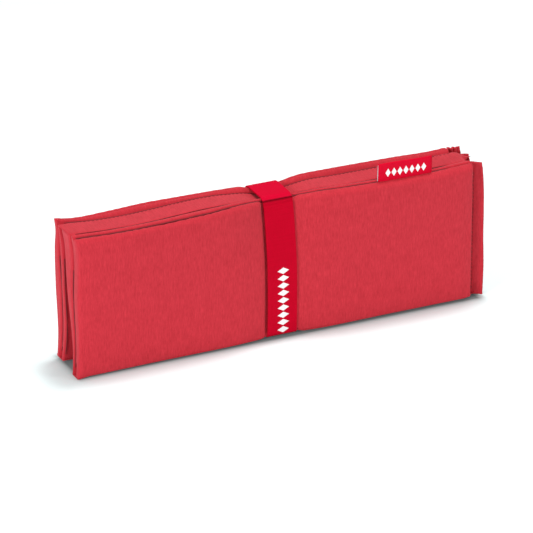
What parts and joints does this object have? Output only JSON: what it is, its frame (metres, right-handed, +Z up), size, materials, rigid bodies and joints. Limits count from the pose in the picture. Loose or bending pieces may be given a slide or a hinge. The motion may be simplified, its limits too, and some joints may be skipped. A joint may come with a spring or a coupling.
{
  "type": "folding seat pad",
  "caption": "Fabric-covered foam seat pad that folds like a concertina and is held shut by an elastic strap round its middle.",
  "frame": {"origin": "middle of the folded pad's base, on the surface that it stands on", "axes": "+X along the panels towards the stitched side hem, -Y out of the front panel's face, +Z up"},
  "size_m": [0.34, 0.0484, 0.127],
  "materials": {
    "cover_fabric": "matt woven polyester",
    "foam": "closed-cell foam",
    "elastic": "woven elastic band",
    "label_tape": "woven satin tape"
  },
  "bodies": {
    "back_panel": {"back_panel_outer_sheet": "cover_fabric", "back_panel_inner_sheet": "cover_fabric", "back_panel_foam": "foam", "back_panel_side_hem": "cover_fabric", "back_fold_rear_web": "cover_fabric"},
    "middle_back_panel": {"middle_back_panel_outer_sheet": "cover_fabric", "middle_back_panel_inner_sheet": "cover_fabric", "middle_back_panel_foam": "foam", "middle_back_panel_side_hem": "cover_fabric", "back_fold_fore_web": "cover_fabric", "top_fold_rear_web": "cover_fabric"},
    "middle_front_panel": {"middle_front_panel_outer_sheet": "cover_fabric", "middle_front_panel_inner_sheet": "cover_fabric", "middle_front_panel_foam": "foam", "middle_front_panel_side_hem": "cover_fabric", "top_fold_fore_web": "cover_fabric", "front_fold_rear_web": "cover_fabric"},
    "front_panel": {"front_panel_outer_sheet": "cover_fabric", "front_panel_inner_sheet": "cover_fabric", "front_panel_foam": "foam", "front_panel_side_hem": "cover_fabric", "front_fold_fore_web": "cover_fabric", "side_label": "label_tape"},
    "strap": {"elastic_strap": "elastic", "strap_sewn_overlap": "elastic"}
  },
  "joints": [
    {"name": "back_fold", "type": "hinge", "parent": "back_panel", "child": "middle_back_panel", "pos_m": [0, 0.0105, -0.00015], "axis": [1, 0, 0], "range_deg": [0, 180], "deforming": ["elastic_strap", "strap_sewn_overlap"]},
    {"name": "top_fold", "type": "hinge", "parent": "middle_back_panel", "child": "middle_front_panel", "pos_m": [0, -0.0006, 0.11315], "axis": [1, 0, 0], "range_deg": [-180, 0]},
    {"name": "front_fold", "type": "hinge", "parent": "middle_front_panel", "child": "front_panel", "pos_m": [0, -0.0117, -0.00015], "axis": [1, 0, 0], "range_deg": [0, 180]},
    {"name": "strap_slide", "type": "slide", "parent": "back_panel", "child": "strap", "axis": [1, 0, 0], "range_m": [0, 0.2], "deforming": ["elastic_strap", "strap_sewn_overlap"]}
  ],
  "couplings": [
    {"joint": "top_fold", "follows": "back_fold", "ratio": -1},
    {"joint": "front_fold", "follows": "back_fold", "ratio": 1}
  ]
}
